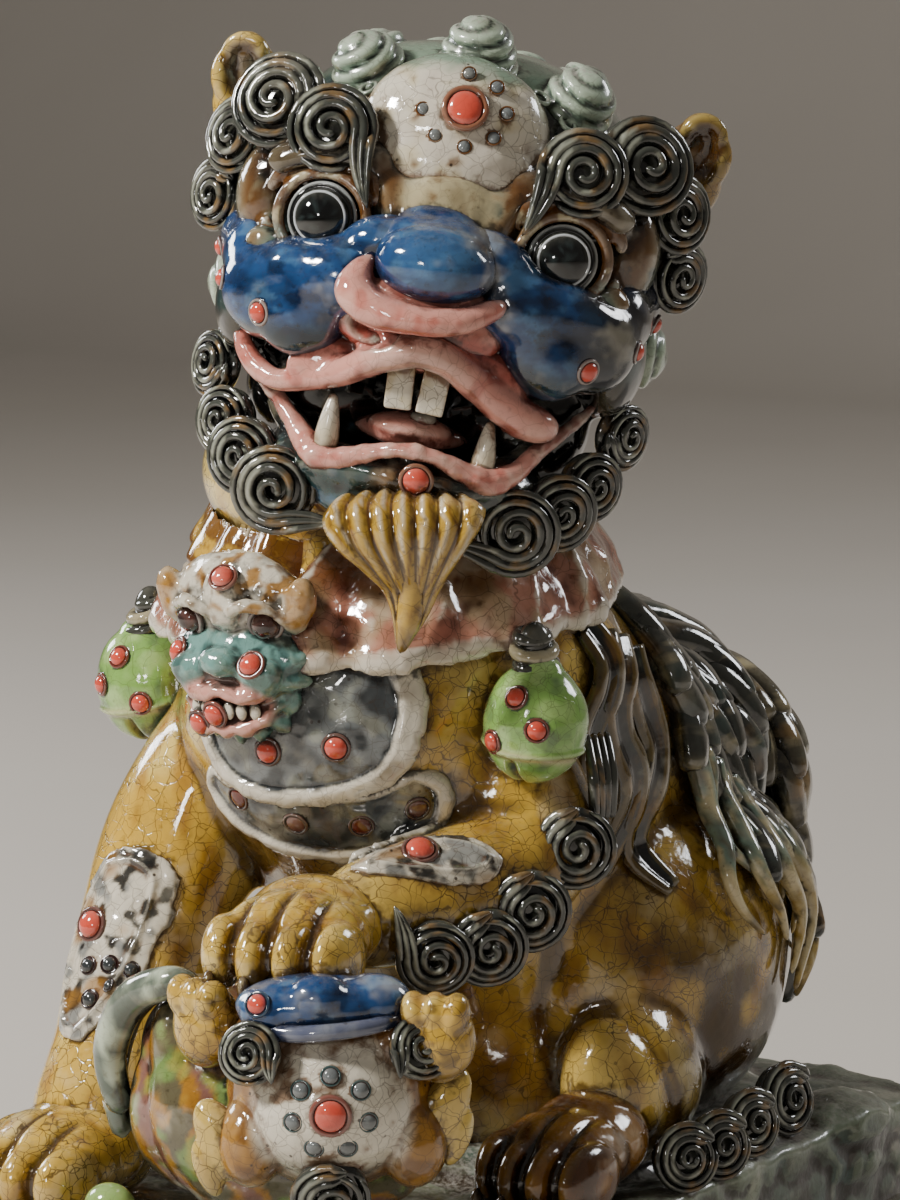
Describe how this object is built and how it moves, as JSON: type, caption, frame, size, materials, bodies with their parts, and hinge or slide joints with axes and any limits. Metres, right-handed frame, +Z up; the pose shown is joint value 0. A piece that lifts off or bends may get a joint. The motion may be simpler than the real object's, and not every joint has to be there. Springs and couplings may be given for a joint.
{
  "type": "foo dog statue",
  "caption": "Seated guardian lion in crackled multi-coloured glaze, head turned left, ribbed curls, harness bells and bib, left forepaw resting on its cub, on a rock plinth.",
  "frame": {"origin": "middle of the underside of the plinth", "axes": "+Z up; the lion's chest faces -Y; +X is the lion's own left side, where the cub lies"},
  "size_m": [0.1791, 0.2955, 0.3448],
  "materials": {
    "amber": "gloss glaze with dark crackle",
    "cobalt": "gloss glaze",
    "pink": "gloss glaze",
    "rose_cream": "gloss glaze with brown pooling",
    "ivory": "gloss glaze with brown edges",
    "charcoal": "gloss glaze breaking to cream on ridges",
    "eye_black": "high gloss",
    "coral_red": "gloss glaze in a dark ring",
    "grey": "gloss glaze",
    "celadon": "dusty semi-gloss glaze",
    "leaf_green": "gloss glaze with crackle",
    "teal": "gloss glaze",
    "umber": "gloss glaze",
    "stone_green": "worn semi-gloss glaze"
  },
  "bodies": {
    "root": {"plinth": "stone_green", "rock_mound": "stone_green", "torso": "amber", "neck": "amber", "haunch_left": "amber", "haunch_right": "amber", "foreleg_left": "amber", "foreleg_right": "amber", "forepaw_left": "amber", "forepaw_right": "amber", "hindpaw_left": "umber", "hindpaw_right": "umber", "skull": "teal", "lower_jaw": "teal", "cheeks": "cobalt", "nose": "cobalt", "nostril_wings": "pink", "upper_lip": "pink", "lower_lip": "pink", "teeth": "ivory", "tongue": "pink", "eye_left": "eye_black", "eye_right": "eye_black", "eyelids": "ivory", "ear_left": "amber", "ear_right": "amber", "forehead_dome": "ivory", "forehead_stud": "coral_red", "forehead_beads": "grey", "crown_knots": "celadon", "brow_curls_left": "charcoal", "brow_curls_right": "charcoal", "jaw_curls_left": "charcoal", "jaw_curls_right": "charcoal", "goatee": "amber", "face_studs": "coral_red", "collar": "rose_cream", "chest_mask": "teal", "bib_upper": "grey", "bib_lower": "grey", "chest_studs": "coral_red", "bell_left": "leaf_green", "bell_right": "leaf_green", "bell_knots": "charcoal", "leg_patches": "ivory", "leg_studs": "coral_red", "leg_curls": "charcoal", "haunch_curls": "charcoal", "mane_locks": "charcoal", "tail": "teal", "hip_wisps": "teal", "shoulder_fins": "umber", "cub_body": "teal", "cub_head": "ivory", "cub_muzzle": "cobalt", "cub_ears": "amber", "cub_curls": "grey", "cub_paws": "amber", "cub_beads": "coral_red"}
  },
  "joints": []
}
